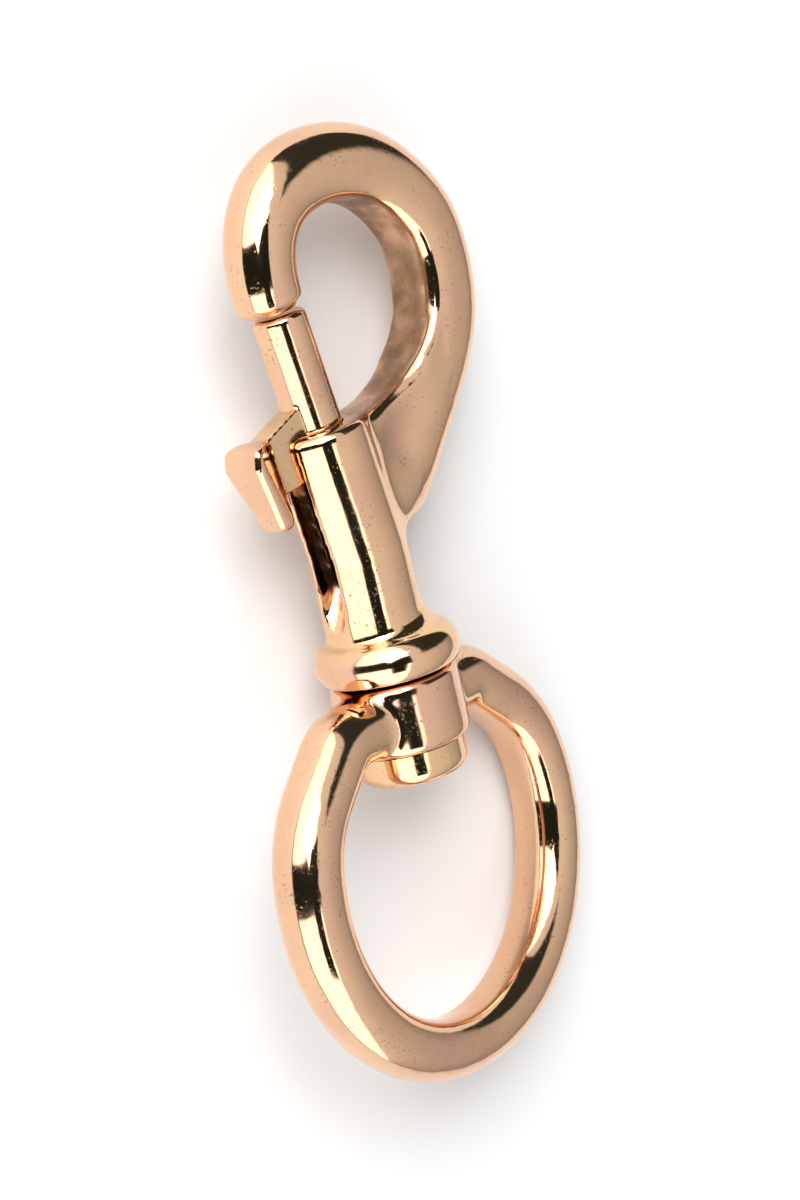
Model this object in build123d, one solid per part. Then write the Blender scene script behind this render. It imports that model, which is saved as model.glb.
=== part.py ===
from build123d import *
import os
from math import cos, pi, radians, sin

# Swivel bolt snap hook lying on a table, in millimetres.
# X runs towards the hook's spine, Y along the swivel axis towards the hook, Z up.
# The origin is the centre of the eye's ring. The pieces are drawn with the casting symmetric
# about Z = 0, and then lean towards the spine as the hook comes to rest.

LIE_LEAN = 8.5             # degrees about Y
OVERCUT = 1.0              # how far a cutter runs past what it cuts, or a piece into its neighbour

# Swivel eye
EYE_BORE = 25.4            # clear inside diameter of the ring
EYE_WIRE = 4.8             # ring bar, in the plane of the ring
EYE_THICK = 5.1            # ring bar, through the plane of the ring
EYE_INNER_CORNER = 2.7     # how square the bar is on its inner side; 2 is round
EYE_TURN = 10.5            # how far the eye has swivelled from the hook's plane, degrees
EYE_ARM_START = 12         # where the ring leaves its circle, degrees from its own X
EYE_ARM_TURN = 38          # how far the shoulder bends before it runs straight, degrees
EYE_ARM_BEND = 9.5         # centreline radius of the shoulder
EYE_ARM_ROOT_BEND = 3.0    # centreline radius where the arm meets the boss
BOSS_R = 4.95
BOSS_TOP = 14.2
BOSS_HEIGHT = 5.5
BOSS_EDGE = 0.5
ARM_DROP = 0.35            # from the top of the boss down to the top of the arms
ARM_FILLET = 1.2

# Swivel rivet
RIVET_R = 1.9
RIVET_HEAD_R = 4.2
RIVET_HEAD_HEIGHT = 2.5
RIVET_HEAD_EDGE = 1.1
RIVET_UPSET_R = 2.35
RIVET_UPSET_HEIGHT = 0.9
RIVET_RUNNING = 0.08       # radial play of the eye on the rivet
RIVET_FIT = 0.02           # radial gap of the rivet in the casting
SWIVEL_GAP = 0.2           # between the collar and the boss
HEAD_GAP = 0.08            # between the boss and the rivet head

# Collar and neck of the casting
COLLAR_R = 5.6
COLLAR_FOOT_R = 5.1
COLLAR_HEIGHT = 2.9
NECK_R = 3.4
NECK_FLARE = 2.6           # radius of the flare down to the bead
NECK_TOP = 20.8

# Barrel, bore and slot
BOLT_TILT = 6.65           # lean of the bolt's axis from the swivel axis, degrees
BOLT_CROSSING = 19.75      # where the two axes cross, along Y
BARREL_R = 3.8
BARREL_FOOT = 4.2          # where the barrel bends into the upright neck, along the bolt's axis
BARREL_RIM = 14.1          # rim, measured along the bolt's axis from the crossing
RIM_EDGE = 0.7
BORE_CLEARANCE = 0.1
BORE_FLOOR = 18.5          # floor of the bore, along Y
SLOT_WIDTH = 2.3
SLOT_CLEARANCE = 0.1
SLOT_FLOOR = 2.4           # slot's straight part ends here, along the bolt's axis
SLOT_RUN_OUT = 2.0         # how far the round ramp drops from the bore to the barrel's face

# Bolt, web and thumb pad
BOLT_R = 2.06
BOLT_TOP = 22.85           # top face, along the bolt's axis from the crossing
BOLT_LENGTH = 13.5
BOLT_CHAMFER = 0.3
BOLT_TRAVEL = 8.2
POCKET_R = 1.55
POCKET_DEPTH = 5.0
WEB_LOW = 10.9             # lower end of the web, along the bolt's axis
WEB_HIGH = 16.2            # its upper end at the bolt; it slopes down to the pad
PAD_GAP = 1.5              # between the barrel and the pad
PAD_WIDTH = 4.2
PAD_EDGE = 0.65
# Outline of the pad: distance out from its back, place along the bolt's axis
PAD_TOP = (0, 15.3)
PAD_PEAK = (2.1, 15.1)
PAD_NOSE = (2.6, 13.7)
PAD_TIP = (1.5, 8.4)
PAD_HEEL = (0, 8.4)
PAD_TIP_WIDTH = 2.4        # the pad narrows from its nose down to its tip
PAD_FLARE = 1.9            # how far out the pad reaches its full width

# Spring
SPRING_WIRE = 0.4
SPRING_CLEARANCE = 0.12
SPRING_TURNS = 9

# Hook bar
ROUND_SIDE = 2.1           # section's exponent on its round side; 2 is an ellipse
INNER_CORNER = 4.1         # the same on the flat inner side of the crown and spine
TIP_GAP = 0.25             # between the bolt and the end of the hook
BAR_THICK = 5.6
TIP_WIDTH = 4.9            # the tip is round
TIP_OFFSET = 0.45          # from the bolt's axis out to the middle of the tip
TIP_EDGE = 0.6
TIP_SWELL = 0.05           # how much the bar has widened where the rounded edge ends
BAR_WIDTH = 5.8
# Centreline of the bar above its tip, over the crown and down the spine
BAR_LINE = [(-3.2, 45.3), (-2.4, 48.3), (-0.2, 50.9), (3.6, 52.0), (7.6, 51.3),
            (10.9, 48.9), (12.9, 45.7), (13.3, 42.0), (12.5, 38.2), (10.6, 34.8), (8.0, 31.4),
            (5.0, 27.4), (2.2, 23.6), (0.6, 21.6)]
SPINE_START = 8            # the point of the line where the bar starts to thin towards the neck
# The bowl of the opening, from the barrel's rim to the spine's inner wall
BOWL_LINE = [(0.6, 33.7), (3.2, 34.2), (5.9, 35.3), (8.3, 37.0), (10.2, 39.6)]
BOWL_EDGE = 0.8
BOWL_STEP = 0.15           # from the bar's faces down to the bowl's
BAR_FOOT_THICK = 3.8       # the bar thins towards the neck
BAR_FOOT_WIDTH = 4.4
# The hollow between the barrel and the spine, on both faces
VALLEY_TOP = (5.2, 31.4)
VALLEY_FOOT = (2.4, 22.6)
VALLEY_TOP_R = 8.0
VALLEY_FOOT_R = 1.6
VALLEY_HALF = 1.9          # half the thickness left at the bottom of the hollow

EYE_R = EYE_BORE / 2 + EYE_WIRE / 2
COLLAR_FOOT = BOSS_TOP + SWIVEL_GAP
BOSS_FOOT = BOSS_TOP - BOSS_HEIGHT
BORE_R = BOLT_R + BORE_CLEARANCE
SPRING_R = POCKET_R - SPRING_CLEARANCE - SPRING_WIRE / 2

# The bolt's own frame: local Z runs up its axis, local X points to the slot's back
AXIS = Plane(origin=(0, BOLT_CROSSING, 0),
             x_dir=(cos(radians(BOLT_TILT)), sin(radians(BOLT_TILT)), 0),
             z_dir=(-sin(radians(BOLT_TILT)), cos(radians(BOLT_TILT)), 0))


def around_y(radius, low, high):
    """A cylinder about the swivel axis from low to high."""
    return Plane((0, low, 0), x_dir=(0, 0, 1), z_dir=(0, 1, 0)) * Cylinder(
        radius, high - low, align=(Align.CENTER, Align.CENTER, Align.MIN))


def along_bolt(radius, low, high):
    """A cylinder about the bolt's axis from low to high."""
    return AXIS * Pos(0, 0, low) * Cylinder(
        radius, high - low, align=(Align.CENTER, Align.CENTER, Align.MIN))


def eye_line():
    """Half of the ring's centreline, from its lowest point to the boss."""
    start = EYE_ARM_START
    bend = start + EYE_ARM_TURN
    level = BOSS_TOP - ARM_DROP - EYE_WIRE / 2
    ring = Vector(EYE_R * cos(radians(start)), EYE_R * sin(radians(start)))
    centre = ring - Vector(cos(radians(start)), sin(radians(start))) * EYE_ARM_BEND
    shoulder = centre + Vector(cos(radians(bend)), sin(radians(bend))) * EYE_ARM_BEND
    middle = centre + Vector(cos(radians((start + bend) / 2)), sin(radians((start + bend) / 2))) * EYE_ARM_BEND
    rise = EYE_ARM_ROOT_BEND * (1 - sin(radians(bend)))
    along = (level - rise - shoulder.Y) / cos(radians(bend))
    root = shoulder + Vector(-sin(radians(bend)), cos(radians(bend))) * along
    end = Vector(root.X - EYE_ARM_ROOT_BEND * cos(radians(bend)), level)
    return [
        ThreePointArc((0, -EYE_R), (EYE_R * cos(radians(-39)), EYE_R * sin(radians(-39))), ring),
        ThreePointArc(ring, middle, shoulder),
        Line(shoulder, root),
        TangentArc(root, end, tangent=root - shoulder),
        Line(end, (0, level)),
    ]


def swivel_eye():
    path = Wire(eye_line())
    start = Plane(origin=(0, -EYE_R, 0), x_dir=(0, 1, 0), z_dir=(1, 0, 0))
    bar = sweep(bar_section(start, EYE_WIRE, EYE_THICK, EYE_INNER_CORNER), path=path)
    boss = around_y(BOSS_R, BOSS_FOOT, BOSS_TOP)
    boss = fillet(boss.edges().filter_by(GeomType.CIRCLE), BOSS_EDGE)
    far_bar = mirror(bar, Plane.YZ)
    eye = boss + bar + far_bar
    eye = fillet(new_edges(bar, far_bar, boss, combined=eye), ARM_FILLET)
    eye -= around_y(RIVET_R + RIVET_RUNNING, BOSS_FOOT - BOSS_HEIGHT, BOSS_TOP + BOSS_HEIGHT)
    return Rot(0, EYE_TURN, 0) * eye


def swivel_rivet():
    head_top = BOSS_FOOT - HEAD_GAP
    head = around_y(RIVET_HEAD_R, head_top - RIVET_HEAD_HEIGHT, head_top)
    head = fillet(head.edges().filter_by(GeomType.CIRCLE).sort_by(Axis.Y)[0], RIVET_HEAD_EDGE)
    shank = around_y(RIVET_R, head_top - RIVET_HEAD_HEIGHT / 2, BORE_FLOOR + RIVET_UPSET_HEIGHT / 4)
    upset = around_y(RIVET_UPSET_R, BORE_FLOOR, BORE_FLOOR + RIVET_UPSET_HEIGHT)
    upset -= along_bolt(2 * RIVET_UPSET_R, spring_seat(), spring_seat() + BOLT_LENGTH)
    return head + shank + upset


def spring_seat():
    """Where the spring stands on the rivet, along the bolt's axis."""
    return BORE_FLOOR + RIVET_UPSET_HEIGHT * 0.75 - BOLT_CROSSING


def bar_section(plane, width, thick, inner_corner):
    """A closed section of a cast bar, square-cornered towards local X and round on the other side."""
    points = []
    steps = 16
    for i in range(steps):
        angle = 2 * pi * i / steps
        power = 2 / (inner_corner if cos(angle) > 0.001 else ROUND_SIDE)
        across = abs(cos(angle)) ** power * (1 if cos(angle) > 0 else -1) * width / 2
        up = abs(sin(angle)) ** power * (1 if sin(angle) > 0 else -1) * thick / 2
        points.append((across, up))
    return plane * make_face(Spline(*points, periodic=True))


def hook_bar():
    tip = AXIS.from_local_coords((-TIP_OFFSET, 0, BOLT_TOP + TIP_GAP))
    line = [Vector(tip.X, tip.Y)] + [Vector(*point) for point in BAR_LINE]
    path = Spline(*line, tangents=[AXIS.z_dir, (line[-1] - line[-2]).normalized()])
    last = len(line) - 1
    sections = []
    for i, point in enumerate(line):
        place = path.param_at_point(point)
        along = path % place
        grow = min(1, i / 4)
        fall = max(0, (i - 1 - SPINE_START) / (last - 1 - SPINE_START))
        width = TIP_WIDTH + (BAR_WIDTH - TIP_WIDTH) * grow + (BAR_FOOT_WIDTH - BAR_WIDTH) * fall
        thick = TIP_WIDTH + (BAR_THICK - TIP_WIDTH) * grow + (BAR_FOOT_THICK - BAR_THICK) * fall
        corner = ROUND_SIDE + (INNER_CORNER - ROUND_SIDE) * min(1, max(0, (i - 2) / 3)) * (1 - fall)
        # the inner side is to the right of the way the line runs
        inward = Vector(along.Y, -along.X, 0)
        plane = Plane(origin=path @ place, x_dir=inward, z_dir=along)
        sections.append(bar_section(plane, width, thick, corner))
    return loft(sections) - Plane(origin=tip, z_dir=AXIS.z_dir) * tip_rounder()


def tip_rounder():
    """What is cut away round the end of the bar; local Z = 0 is its end face."""
    above = (Align.CENTER, Align.CENTER, Align.MIN)
    kept = Cone(TIP_WIDTH / 2 - TIP_EDGE, TIP_WIDTH / 2 + TIP_SWELL, TIP_EDGE + TIP_SWELL, align=above)
    return Pos(0, 0, -TIP_GAP / 2) * Cylinder(TIP_WIDTH, TIP_EDGE + TIP_SWELL + TIP_GAP / 2, align=above) - kept


def bowl_web():
    """The plate that joins the spine to the barrel under the opening, hollowed on both faces."""
    bowl = Spline(*BOWL_LINE)
    inside = AXIS.from_local_coords((0, 0, BARREL_RIM - OVERCUT))
    spine = Polyline(BOWL_LINE[-1], *BAR_LINE[SPINE_START:], (inside.X, inside.Y), BOWL_LINE[0])
    plate = extrude(make_face([bowl, spine]), BAR_THICK / 2 - BOWL_STEP, both=True)
    plate = fillet(plate.edges().filter_by(GeomType.BSPLINE), BOWL_EDGE)
    foot = Vector(*VALLEY_FOOT, VALLEY_HALF + VALLEY_FOOT_R)
    top = Vector(*VALLEY_TOP, VALLEY_HALF + VALLEY_TOP_R)
    hollow = Plane(origin=foot, z_dir=top - foot) * Cone(
        VALLEY_FOOT_R, VALLEY_TOP_R, (top - foot).length, align=(Align.CENTER, Align.CENTER, Align.MIN))
    hollow += Pos(*top) * Sphere(VALLEY_TOP_R)
    return plate - hollow - mirror(hollow, Plane.XY)


def neck_and_collar():
    """The bead and its flare, turned about the swivel axis, and the upright neck up to the barrel's bend."""
    foot = COLLAR_FOOT
    top = foot + COLLAR_HEIGHT
    profile = Polyline((0, NECK_TOP), (0, foot), (COLLAR_FOOT_R, foot))
    bead = ThreePointArc((COLLAR_FOOT_R, foot), (COLLAR_R, foot + COLLAR_HEIGHT * 0.5),
                         (COLLAR_FOOT_R - 0.2, top))
    flare = RadiusArc((COLLAR_FOOT_R - 0.2, top), (NECK_R, top + NECK_FLARE), NECK_FLARE)
    side = Polyline((NECK_R, top + NECK_FLARE), (NECK_R, NECK_TOP), (0, NECK_TOP))
    turned = revolve(make_face([profile, bead, flare, side]), Axis.Y)
    elbow = AXIS.from_local_coords((0, 0, BARREL_FOOT))
    upright = Pos(elbow.X, 0) * around_y(BARREL_R, foot + COLLAR_HEIGHT / 2, elbow.Y)
    return turned + upright + Pos(elbow) * Sphere(BARREL_R)


def slot_cutter():
    """The bolt's slot: a straight cut open at the rim, and a round ramp that runs out below."""
    high = BARREL_RIM + OVERCUT
    out = 2 * BARREL_R
    cut = AXIS * Pos(-out / 2, 0, (SLOT_FLOOR + high) / 2) * Box(out, SLOT_WIDTH, high - SLOT_FLOOR)
    inner = Vector(AXIS.from_local_coords((-BORE_R, 0, SLOT_FLOOR + SLOT_WIDTH / 2)))
    outer = Vector(AXIS.from_local_coords((-BARREL_R, 0, SLOT_FLOOR - SLOT_RUN_OUT + SLOT_WIDTH / 2)))
    ramp = Plane(origin=inner, z_dir=outer - inner) * Cylinder(
        SLOT_WIDTH / 2, 3 * (BARREL_R - BORE_R), align=(Align.CENTER, Align.CENTER, Align.MIN))
    return cut + ramp


def hook_body():
    barrel = along_bolt(BARREL_R, BARREL_FOOT, BARREL_RIM)
    barrel = fillet(barrel.edges().filter_by(GeomType.CIRCLE).sort_by(Axis.Y)[-1], RIM_EDGE)
    body = hook_bar() + bowl_web() + neck_and_collar() + barrel
    body -= along_bolt(BORE_R, 0, BARREL_RIM + BOLT_CHAMFER)
    body -= around_y(RIVET_UPSET_R + RIVET_FIT, BORE_FLOOR, BORE_FLOOR + RIVET_UPSET_HEIGHT + OVERCUT)
    body -= slot_cutter()
    body -= around_y(RIVET_R + RIVET_FIT, COLLAR_FOOT - OVERCUT, BORE_FLOOR + OVERCUT)
    return body


def bolt():
    body = along_bolt(BOLT_R, BOLT_TOP - BOLT_LENGTH, BOLT_TOP)
    body = chamfer(body.edges().filter_by(GeomType.CIRCLE).sort_by(Axis.Y)[-1], BOLT_CHAMFER)
    low = BOLT_TOP - BOLT_LENGTH
    body += thumb_web() + thumb_pad()
    return body - along_bolt(POCKET_R, low - OVERCUT, low + POCKET_DEPTH)


def beside_bolt():
    """The plane of the slot: local X runs out from the bolt's axis, local Y up along it."""
    return Plane(origin=AXIS.origin, x_dir=-AXIS.x_dir, z_dir=(0, 0, -1))


def thumb_web():
    out = BARREL_R + PAD_GAP + PAD_EDGE
    outline = Polyline((0, WEB_LOW), (out, WEB_LOW), (out, PAD_TOP[1] - PAD_EDGE / 2),
                       (BOLT_R, WEB_HIGH), (0, WEB_HIGH), (0, WEB_LOW))
    return extrude(beside_bolt() * make_face(outline), SLOT_WIDTH / 2 - SLOT_CLEARANCE, both=True)


def thumb_pad():
    """The wedge outside the barrel: it flares from the web to its full width and tapers to a tip below."""
    back = BARREL_R + PAD_GAP
    outline = Polyline(PAD_TOP, PAD_PEAK, PAD_NOSE, PAD_TIP, PAD_HEEL, PAD_TOP)
    wedge = extrude(beside_bolt() * Pos(back, 0) * make_face(outline), PAD_WIDTH, both=True)
    full = PAD_WIDTH / 2
    tip = PAD_TIP_WIDTH / 2
    far = 2 * back + PAD_NOSE[0]
    front = Polyline((-full, PAD_TOP[1]), (full, PAD_TOP[1]), (full, PAD_NOSE[1]), (tip, PAD_TIP[1]),
                     (-tip, PAD_TIP[1]), (-full, PAD_NOSE[1]), (-full, PAD_TOP[1]))
    across = Plane(origin=AXIS.origin, x_dir=(0, 0, 1), z_dir=-AXIS.x_dir)
    wedge = wedge & extrude(across * make_face(front), far)
    wedge = fillet(wedge.edges(), PAD_EDGE)
    root = SLOT_WIDTH / 2 - SLOT_CLEARANCE
    plan = Polyline((-back, root), (-back - PAD_FLARE, full), (-far, full), (-far, -full),
                    (-back - PAD_FLARE, -full), (-back, -root), (-back, root))
    return wedge & extrude(AXIS * make_face(plan), BOLT_TOP)


def bolt_spring():
    low = spring_seat() + SPRING_WIRE / 2
    high = BOLT_TOP - BOLT_LENGTH + POCKET_DEPTH - SPRING_WIRE / 2
    line = Helix((high - low) / SPRING_TURNS, high - low, SPRING_R)
    wire = Plane(origin=line @ 0, z_dir=line % 0) * Circle(SPRING_WIRE / 2)
    return AXIS * Pos(0, 0, low) * sweep(wire, path=line, is_frenet=True)


if __name__ == "__main__":
    os.makedirs("parts", exist_ok=True)
    for piece in (swivel_eye, swivel_rivet, hook_body, bolt, bolt_spring):
        export_step(Rot(0, LIE_LEAN, 0) * piece(), f"parts/{piece.__name__}.step")
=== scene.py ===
from math import cos, degrees, radians, sin

import bpy
from mathutils import Matrix, Vector
from mathutils.geometry import intersect_point_line


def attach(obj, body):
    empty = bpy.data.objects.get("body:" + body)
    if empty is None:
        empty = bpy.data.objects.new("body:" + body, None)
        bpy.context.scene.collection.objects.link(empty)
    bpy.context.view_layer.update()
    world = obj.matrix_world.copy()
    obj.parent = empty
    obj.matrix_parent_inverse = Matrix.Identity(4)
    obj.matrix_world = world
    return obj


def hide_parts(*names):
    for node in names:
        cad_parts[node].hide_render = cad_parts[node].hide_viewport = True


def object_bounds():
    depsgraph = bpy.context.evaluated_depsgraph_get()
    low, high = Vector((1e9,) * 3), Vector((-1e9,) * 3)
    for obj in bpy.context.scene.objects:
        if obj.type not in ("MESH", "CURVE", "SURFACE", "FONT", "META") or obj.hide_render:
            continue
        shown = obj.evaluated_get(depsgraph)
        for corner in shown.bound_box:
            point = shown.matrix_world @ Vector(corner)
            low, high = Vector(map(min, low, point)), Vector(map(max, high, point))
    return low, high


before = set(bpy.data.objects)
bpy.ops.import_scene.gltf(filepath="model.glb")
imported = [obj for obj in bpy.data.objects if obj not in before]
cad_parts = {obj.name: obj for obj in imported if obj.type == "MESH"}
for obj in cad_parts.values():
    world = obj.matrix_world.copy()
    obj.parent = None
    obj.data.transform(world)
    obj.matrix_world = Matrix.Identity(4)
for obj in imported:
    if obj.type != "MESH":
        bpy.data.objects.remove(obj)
CAD_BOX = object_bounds()

# Camera: the photo's view, in the part's frame, metres
CAMERA_PLACE = Vector((-0.11011, 0.06406, 0.17968))
CAMERA_RIGHT = Vector((0.79961, -0.22621, 0.55628))
CAMERA_UP = Vector((0.30291, 0.95179, -0.04836))
CAMERA_CLIP = 0.01
FOCAL_PIXELS = 2892.8
PHOTO_HEIGHT = 1200
SENSOR_HEIGHT = 24.0

# The hook's own frame: it leans towards its spine, and the bolt leans in it
SWIVEL_AXIS = Vector((0, 1, 0))
LEAN = radians(8.5)
HOOK_X = Vector((cos(LEAN), 0, -sin(LEAN)))
HOOK_Z = Vector((sin(LEAN), 0, cos(LEAN)))
BOLT_TILT = radians(6.65)
BOLT_AXIS = SWIVEL_AXIS * cos(BOLT_TILT) - HOOK_X * sin(BOLT_TILT)
ACROSS_BOLT = HOOK_X * cos(BOLT_TILT) + SWIVEL_AXIS * sin(BOLT_TILT)
BOLT_CROSSING = SWIVEL_AXIS * 0.01975
BORE_RADIUS = 0.0029

# The hollow between the barrel and the spine: a strip round a line in the hook's plane
HOLLOW_FOOT = Vector((0.0026, 0.0226, 0))
HOLLOW_TOP = Vector((0.0050, 0.0322, 0))
HOLLOW_REACH = 0.0052
HOLLOW_FADE = 0.0018
HOLLOW_EDGE_SHARE = 0.35
HOLLOW_FACE = (0.0006, 0.0015)
HOLLOW_SIDE = (0.0014, 0.0028)

# Where the bronze differs: low, high and softness of each band, metres
FLARE_BAND = (0.0173, 0.0188, 0.0009)
RIVET_EDGE_BAND = (0.0074, 0.0090, 0.0005)
WEB_BAND = (0.0023, 0.0056, 0.0004)
# Bore band: unpolished cast walls, darkened further as painted shade deep in the bore and the slot
BORE_BAND = (-0.0020, 0.0128, 0.0006)
BORE_MASK_RADIUS = 0.00325
OPENING_CENTRE = HOOK_X * 0.0045 + SWIVEL_AXIS * 0.0420
OPENING_FADE = (0.0125, 0.0105)
FACING_OPENING = (0.55, 0.85)

# Colours of the metals
BRONZE = (0.84, 0.530, 0.325, 1)
BRONZE_PINK = (0.80, 0.480, 0.315, 1)
BRONZE_YELLOW = (0.84, 0.555, 0.305, 1)
# Brown of the unpolished cast walls; in the bore and the slot's depth it is also painted shade
BRONZE_BROWN = (0.22, 0.125, 0.070, 1)
PIT_BROWN = (0.16, 0.085, 0.055, 1)
STEEL = (0.56, 0.56, 0.58, 1)
STEEL_DARK = (0.42, 0.42, 0.44, 1)

# Noises in the bronze: waves a metre, and the levels between which each one shows
DRIFT_SCALE = 170.0
DRIFT_TINT = (0.38, 0.66)
DRIFT_ROUGH = (0.2, 0.9)
YELLOW_SCALE = 500.0
YELLOW_SHOWS = (0.2, 0.6)
BLOTCH_SCALE = 420.0
BROWN_SHOWS = (0.15, 0.7)
PIT_SCALE = 4200.0
PIT_PATCHES = 0.30
PIT_SHOWS = (0.79, 0.88)
SWELL_SCALE = 380.0

# Strength of what the noises do
LEAST_ROUGH = 0.054
ROUGH_SPREAD = 0.09
# Share of the brown: unpolished walls, and painted shade in the bore and the slot
BROWN_SHARE = 0.85
BROWN_ROUGHER = 0.28
PIT_SHARE = 0.55
SWELL_STRENGTH = 0.12
SWELL_HEIGHT = 0.0003
PIT_STRENGTH = 0.12
PIT_DEPTH = 0.00005

# Spring wire
WIRE_SCALE = 900.0
WIRE_SHOWS = (0.3, 0.7)
WIRE_ROUGH = (0.18, 0.32)

# Floor
FLOOR_LEVEL = CAD_BOX[0][2]
FLOOR_SIZE = 3.0
FLOOR_GREY = 0.76
FLOOR_ROUGH = 0.8

# Studio walls: their light by the turn about the swivel axis, in degrees, rightwards from the camera
STUDIO_PEAK = 2.4
WALLS = [
    (-180, 0.10), (-130, 0.10), (-100, 0.24), (-66, 0.32), (-62, 0.05), (-57, 0.05), (-54, 2.3),
    (30, 2.3), (34, 0.90), (60, 0.82), (105, 0.52), (125, 0.26), (150, 0.10), (180, 0.10),
]

# Dark shapes before the walls: colour, then low, high and softness of their turn and their height in degrees
DARK_SHAPES = {
    "ceiling": ((0.016, 0.018, 0.016, 1), (60.0, 180.0, 6.0), (16.0, 90.0, 10.0)),
    "camera": ((0.006, 0.008, 0.006, 1), (-62.0, 34.0, 2.0), (-8.5, 19.0, 1.5)),
    "stand": ((0.006, 0.008, 0.006, 1), (3.0, 25.0, 2.0), (-32.0, -8.0, 4.0)),
}

# The colour sockets of a mix node
MIX_FACTOR = 0
MIX_FIRST = 6
MIX_SECOND = 7
MIX_RESULT = 2


def feed(tree, value, socket):
    """Gives an input its value, from another node's output or as a constant."""
    if isinstance(value, bpy.types.NodeSocket):
        tree.links.new(value, socket)
    else:
        socket.default_value = value


def calculate(tree, operation, *values):
    """A maths node; each value is an output or a number."""
    made = tree.nodes.new("ShaderNodeMath")
    made.operation = operation
    for value, socket in zip(values, made.inputs):
        feed(tree, value, socket)
    return made.outputs["Value"]


def combine(tree, operation, *vectors):
    """A vector maths node; each vector is an output or a constant."""
    made = tree.nodes.new("ShaderNodeVectorMath")
    made.operation = operation
    for vector, socket in zip(vectors, made.inputs):
        feed(tree, vector, socket)
    return made.outputs


def along(tree, place, direction, origin=(0, 0, 0)):
    """How far place lies along direction, counted from origin."""
    offset = combine(tree, "SUBTRACT", place, origin)["Vector"]
    return combine(tree, "DOT_PRODUCT", offset, direction)["Value"]


def rise(tree, value, low, high):
    """A smooth step from 0 at low to 1 at high; it falls where low is the larger one."""
    made = tree.nodes.new("ShaderNodeMapRange")
    made.interpolation_type = "SMOOTHSTEP"
    feed(tree, value, made.inputs["Value"])
    feed(tree, low, made.inputs["From Min"])
    feed(tree, high, made.inputs["From Max"])
    return made.outputs["Result"]


def between(tree, value, low, high, soft):
    """1 from low to high, falling to 0 within soft outside them."""
    up = rise(tree, value, low - soft, low)
    down = rise(tree, value, high + soft, high)
    return calculate(tree, "MULTIPLY", up, down)


def ramp(tree, source, stops):
    """A colour ramp fed by source, with stops of (place, colour)."""
    made = tree.nodes.new("ShaderNodeValToRGB")
    elements = made.color_ramp.elements
    elements[0].position, elements[0].color = stops[0]
    elements[1].position, elements[1].color = stops[-1]
    for place, colour in stops[1:-1]:
        elements.new(place).color = colour
    feed(tree, source, made.inputs["Fac"])
    return made.outputs["Color"]


def mix(tree, factor, first, second):
    """The first colour where factor is 0, the second where it is 1."""
    made = tree.nodes.new("ShaderNodeMix")
    made.data_type = "RGBA"
    feed(tree, factor, made.inputs[MIX_FACTOR])
    feed(tree, first, made.inputs[MIX_FIRST])
    feed(tree, second, made.inputs[MIX_SECOND])
    return made.outputs[MIX_RESULT]


def noise(tree, where, scale, detail=2.0, roughness=0.5):
    """A noise texture, from 0 to 1."""
    made = tree.nodes.new("ShaderNodeTexNoise")
    feed(tree, where, made.inputs["Vector"])
    feed(tree, scale, made.inputs["Scale"])
    feed(tree, detail, made.inputs["Detail"])
    feed(tree, roughness, made.inputs["Roughness"])
    return made.outputs["Fac"]


def bump(tree, height, strength, distance):
    """A bump node, raised where height is 1."""
    made = tree.nodes.new("ShaderNodeBump")
    feed(tree, height, made.inputs["Height"])
    feed(tree, strength, made.inputs["Strength"])
    feed(tree, distance, made.inputs["Distance"])
    return made


def grey(value):
    return (value, value, value, 1)


def new_material(name):
    """A material with its node tree and its shader."""
    material = bpy.data.materials.new(name)
    material.use_nodes = True
    tree = material.node_tree
    return material, tree, tree.nodes["Principled BSDF"]


def flare_mask(tree, place, normal):
    """The recess above the bead."""
    return between(tree, along(tree, place, SWIVEL_AXIS), *FLARE_BAND)


def rivet_mask(tree, place, normal):
    """The edge of the rivet's head."""
    return between(tree, along(tree, place, SWIVEL_AXIS), *RIVET_EDGE_BAND)


def web_mask(tree, place, normal):
    """The web and the back of the pad."""
    return between(tree, along(tree, place, -ACROSS_BOLT, BOLT_CROSSING), *WEB_BAND)


def opening_mask(tree, place, normal):
    """The cast walls that face the middle of the hook's opening."""
    inward = combine(tree, "SUBTRACT", OPENING_CENTRE, place)["Vector"]
    far = combine(tree, "LENGTH", inward)["Value"]
    facing = combine(tree, "DOT_PRODUCT", inward, normal)["Value"]
    facing = rise(tree, calculate(tree, "DIVIDE", facing, far), *FACING_OPENING)
    return calculate(tree, "MULTIPLY", facing, rise(tree, far, *OPENING_FADE))


def bore_unpolished_and_shade_mask(tree, place, normal):
    """The walls of the bore and the deeper part of the slot: unpolished cast walls, darkened further here as
    painted shade.
    """
    out = along(tree, place, ACROSS_BOLT, BOLT_CROSSING)
    over = along(tree, place, BOLT_AXIS.cross(ACROSS_BOLT), BOLT_CROSSING)
    squares = calculate(tree, "MULTIPLY_ADD", out, out, calculate(tree, "MULTIPLY", over, over))
    inside = rise(tree, calculate(tree, "SQRT", squares), BORE_MASK_RADIUS, BORE_RADIUS)
    level = between(tree, along(tree, place, BOLT_AXIS, BOLT_CROSSING), *BORE_BAND)
    return calculate(tree, "MULTIPLY", inside, level)


def unpolished_and_shade_mask(tree, place, normal):
    """Every wall of the casting that a polishing wheel can't reach, unpolished and brown; in the bore and
    the slot's depth the brown is also painted shade.
    """
    walls = [mask(tree, place, normal) for mask in (opening_mask, bore_unpolished_and_shade_mask)]
    return calculate(tree, "MAXIMUM", *walls)


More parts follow.
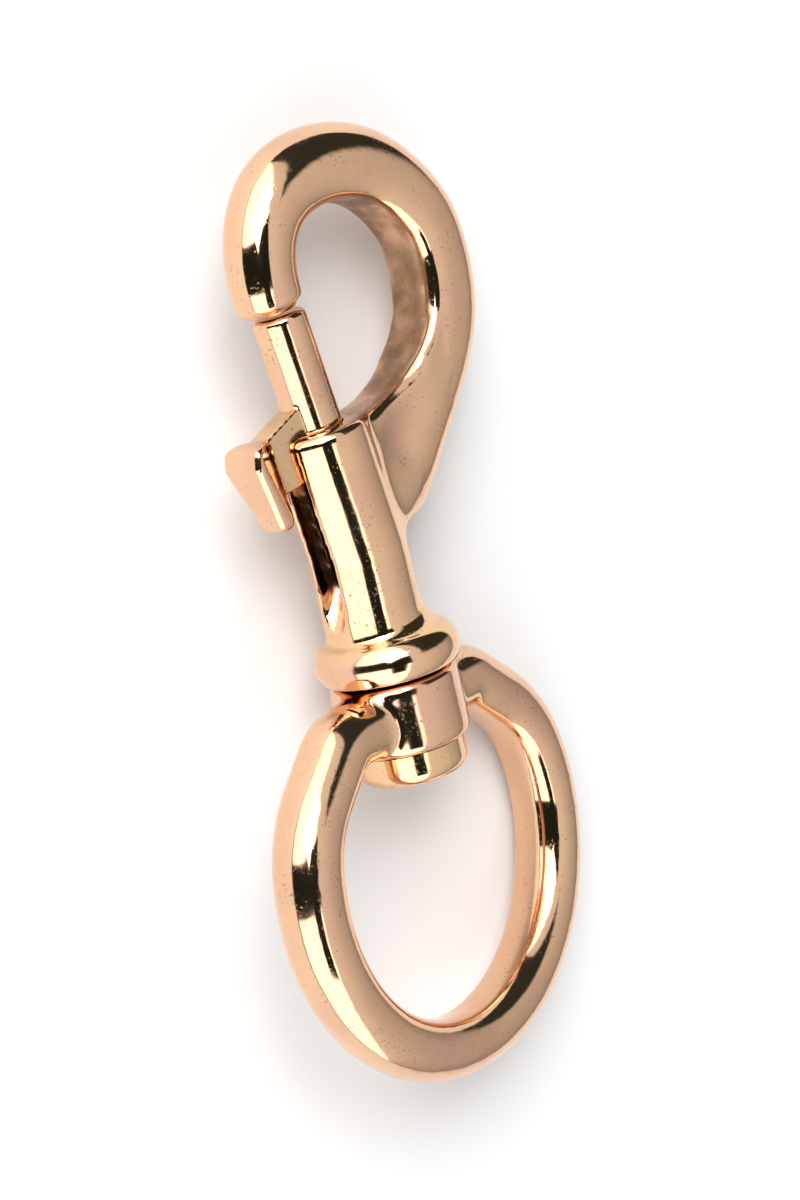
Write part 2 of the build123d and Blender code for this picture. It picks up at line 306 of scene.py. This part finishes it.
def bronze(name, seed, yellow=None, brown=None):
    """Polished cast bronze: drifting tint, brown pits and a slightly uneven polish.

    yellow and brown are masks, for recesses and for unpolished walls; the brown in the bore and the deep
    slot is also painted shade.
    """
    material, tree, shader = new_material(name)
    shader.inputs["Metallic"].default_value = 1.0
    coordinates = tree.nodes.new("ShaderNodeTexCoord")
    place = coordinates.outputs["Object"]
    normal = coordinates.outputs["Normal"]
    shift = tree.nodes.new("ShaderNodeMapping")
    shift.inputs["Location"].default_value = (seed, seed * 0.7, 0)
    feed(tree, place, shift.inputs["Vector"])
    where = shift.outputs["Vector"]

    drift = noise(tree, where, DRIFT_SCALE, detail=3.0)
    colour = mix(tree, rise(tree, drift, *DRIFT_TINT), BRONZE, BRONZE_PINK)
    roughness = calculate(tree, "MULTIPLY_ADD", rise(tree, drift, *DRIFT_ROUGH), ROUGH_SPREAD, LEAST_ROUGH)
    if yellow:
        spots = rise(tree, noise(tree, where, YELLOW_SCALE), *YELLOW_SHOWS)
        recess = calculate(tree, "MULTIPLY", yellow(tree, place, normal), spots)
        colour = mix(tree, recess, colour, BRONZE_YELLOW)
    # Dark brown on unpolished walls; in the bore and the slot's depth it is partly painted shade
    if brown:
        spots = rise(tree, noise(tree, where, BLOTCH_SCALE, detail=4.0), *BROWN_SHOWS)
        wall = calculate(tree, "MULTIPLY", brown(tree, place, normal), spots)
        colour = mix(tree, calculate(tree, "MULTIPLY", wall, BROWN_SHARE), colour, BRONZE_BROWN)
        roughness = calculate(tree, "MULTIPLY_ADD", wall, BROWN_ROUGHER, roughness)

    fine = noise(tree, where, PIT_SCALE, detail=3.0, roughness=0.6)
    crowding = calculate(tree, "MULTIPLY_ADD", noise(tree, where, BLOTCH_SCALE), PIT_PATCHES, fine)
    pits = rise(tree, crowding, *PIT_SHOWS)
    colour = mix(tree, calculate(tree, "MULTIPLY", pits, PIT_SHARE), colour, PIT_BROWN)

    swell = bump(tree, noise(tree, where, SWELL_SCALE), SWELL_STRENGTH, SWELL_HEIGHT)
    dent = bump(tree, pits, PIT_STRENGTH, PIT_DEPTH)
    dent.invert = True
    feed(tree, swell.outputs["Normal"], dent.inputs["Normal"])

    feed(tree, colour, shader.inputs["Base Color"])
    feed(tree, roughness, shader.inputs["Roughness"])
    feed(tree, dent.outputs["Normal"], shader.inputs["Normal"])
    return material


def spring_wire():
    """Drawn steel, a little uneven."""
    material, tree, shader = new_material("spring_wire")
    shader.inputs["Metallic"].default_value = 1.0
    place = tree.nodes.new("ShaderNodeTexCoord").outputs["Object"]
    drawn = noise(tree, place, WIRE_SCALE, detail=3.0)
    colours = list(zip(WIRE_SHOWS, (STEEL_DARK, STEEL)))
    greys = [(level, grey(rough)) for level, rough in zip(WIRE_SHOWS, WIRE_ROUGH)]
    feed(tree, ramp(tree, drawn, colours), shader.inputs["Base Color"])
    feed(tree, ramp(tree, drawn, greys), shader.inputs["Roughness"])
    return material


def dress(name, material):
    """Gives a node its material; its CAD shape stays."""
    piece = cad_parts[name]
    piece.data.materials.clear()
    piece.data.materials.append(material)


def cast(name, body, material, grain, passes, hollow_passes=0):
    """The node's own shape with the softened edges of a polished casting, in its place."""
    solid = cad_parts[name]
    piece = bpy.data.objects.new(name + "_cast", solid.data.copy())
    piece.matrix_world = solid.matrix_world
    bpy.context.scene.collection.objects.link(piece)
    skin = piece.modifiers.new("skin", "REMESH")
    skin.mode = "VOXEL"
    skin.voxel_size = grain
    skin.use_smooth_shade = True
    polish = piece.modifiers.new("polish", "SMOOTH")
    polish.factor = 0.5
    polish.iterations = passes
    if hollow_passes:
        keep_modified(piece)
        blend_hollow(piece, hollow_passes)
    piece.data.materials.clear()
    piece.data.materials.append(material)
    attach(piece, body)
    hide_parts(name)


def keep_modified(piece):
    """Makes the shape that the modifiers give the piece its own."""
    bpy.context.view_layer.update()
    modified = piece.evaluated_get(bpy.context.evaluated_depsgraph_get())
    mesh = bpy.data.meshes.new_from_object(modified)
    piece.modifiers.clear()
    piece.data = mesh


def blend_hollow(piece, passes):
    """Softens the corner between the barrel and the spine."""
    group = piece.vertex_groups.new(name="hollow")
    for vertex in piece.data.vertices:
        share = hollow_share(piece.matrix_world @ vertex.co)
        if share > 0:
            group.add([vertex.index], share, "REPLACE")
    blend = piece.modifiers.new("blend", "SMOOTH")
    blend.vertex_group = group.name
    blend.factor = 0.5
    blend.iterations = passes


def climb(value, start, end):
    """0 below start, 1 beyond end."""
    return min(1, max(0, (value - start) / (end - start)))


def hollow_share(point):
    """1 on the faces between the barrel and the spine, falling to 0 round them; 0 in the bore."""
    flat = Vector((point.dot(HOOK_X), point.y, 0))
    nearest, place = intersect_point_line(flat, HOLLOW_FOOT, HOLLOW_TOP)
    if place < 0:
        nearest = HOLLOW_FOOT
    if place > 1:
        nearest = HOLLOW_TOP
    near = 1 - climb((flat - nearest).length, HOLLOW_REACH - HOLLOW_FADE, HOLLOW_REACH)
    face = max(HOLLOW_EDGE_SHARE, climb(abs(point.dot(HOOK_Z)), *HOLLOW_FACE))
    from_crossing = point - BOLT_CROSSING
    beside = climb(from_crossing.dot(ACROSS_BOLT), *HOLLOW_SIDE)
    radius = (from_crossing - from_crossing.dot(BOLT_AXIS) * BOLT_AXIS).length
    return near * face * beside if radius > BORE_RADIUS else 0


def set_camera():
    """The camera of the photo."""
    data = bpy.data.cameras.new("photo_view")
    data.sensor_fit = "VERTICAL"
    data.sensor_height = SENSOR_HEIGHT
    data.lens = FOCAL_PIXELS / PHOTO_HEIGHT * SENSOR_HEIGHT
    data.clip_start = CAMERA_CLIP
    camera = bpy.data.objects.new("photo_view", data)
    axes = Matrix((CAMERA_RIGHT, CAMERA_UP, CAMERA_RIGHT.cross(CAMERA_UP))).transposed()
    camera.matrix_world = Matrix.Translation(CAMERA_PLACE) @ axes.to_4x4()
    bpy.context.scene.collection.objects.link(camera)
    bpy.context.scene.camera = camera


def floor():
    """A pale floor that the part lies on."""
    half = FLOOR_SIZE / 2
    corners = [(-half, -half), (half, -half), (half, half), (-half, half)]
    mesh = bpy.data.meshes.new("floor")
    mesh.from_pydata([(x, y, FLOOR_LEVEL) for x, y in corners], [], [(0, 1, 2, 3)])
    piece = bpy.data.objects.new("floor", mesh)
    material, _, shader = new_material("pale_floor")
    shader.inputs["Base Color"].default_value = grey(FLOOR_GREY)
    shader.inputs["Roughness"].default_value = FLOOR_ROUGH
    mesh.materials.append(material)
    bpy.context.scene.collection.objects.link(piece)


def softbox(name, place, aim, size, power):
    """A rectangular light at place that faces aim."""
    data = bpy.data.lights.new(name, "AREA")
    data.shape = "RECTANGLE"
    data.size, data.size_y = size
    data.energy = power
    light = bpy.data.objects.new(name, data)
    light.location = place
    light.rotation_euler = (Vector(aim) - Vector(place)).to_track_quat("-Z", "Y").to_euler()
    bpy.context.scene.collection.objects.link(light)


def studio():
    """A room round the swivel axis: bright behind the camera, darker to its left and right."""
    world = bpy.data.worlds.new("studio")
    bpy.context.scene.world = world
    world.use_nodes = True
    tree = world.node_tree
    way = tree.nodes.new("ShaderNodeTexCoord").outputs["Generated"]
    right = SWIVEL_AXIS.cross(CAMERA_RIGHT.cross(CAMERA_UP)).normalized()
    ahead = right.cross(SWIVEL_AXIS)
    turn = calculate(tree, "ARCTAN2", along(tree, way, right), along(tree, way, ahead))
    turn = calculate(tree, "MULTIPLY", turn, degrees(1))
    height = calculate(tree, "ARCSINE", along(tree, way, SWIVEL_AXIS))
    height = calculate(tree, "MULTIPLY", height, degrees(1))

    round_the_room = calculate(tree, "MULTIPLY", calculate(tree, "ADD", turn, 180.0), 1 / 360)
    stops = [((angle + 180) / 360, grey(light / STUDIO_PEAK)) for angle, light in WALLS]
    colour = ramp(tree, round_the_room, stops)
    for shape_colour, turns, heights in DARK_SHAPES.values():
        shape = calculate(tree, "MULTIPLY", between(tree, turn, *turns), between(tree, height, *heights))
        colour = mix(tree, shape, colour, shape_colour)
    background = tree.nodes["Background"]
    feed(tree, colour, background.inputs["Color"])
    background.inputs["Strength"].default_value = STUDIO_PEAK


hook_bronze = bronze("hook_bronze", 0.0, yellow=flare_mask, brown=unpolished_and_shade_mask)
cast("hook_body", "hook", hook_bronze, grain=0.00014, passes=12, hollow_passes=320)
cast("bolt", "bolt", bronze("bolt_bronze", 0.57, yellow=web_mask), grain=0.00009, passes=24)
cast("swivel_eye", "eye", bronze("eye_bronze", 0.31), grain=0.00015, passes=50)
dress("swivel_rivet", bronze("rivet_bronze", 0.83, yellow=rivet_mask))
dress("bolt_spring", spring_wire())
set_camera()
floor()
softbox("key", place=(-0.25, 0.45, 0.55), aim=(0, 0.02, 0), size=(0.5, 0.4), power=4.0)
studio()
bpy.context.scene.view_settings.view_transform = "Standard"
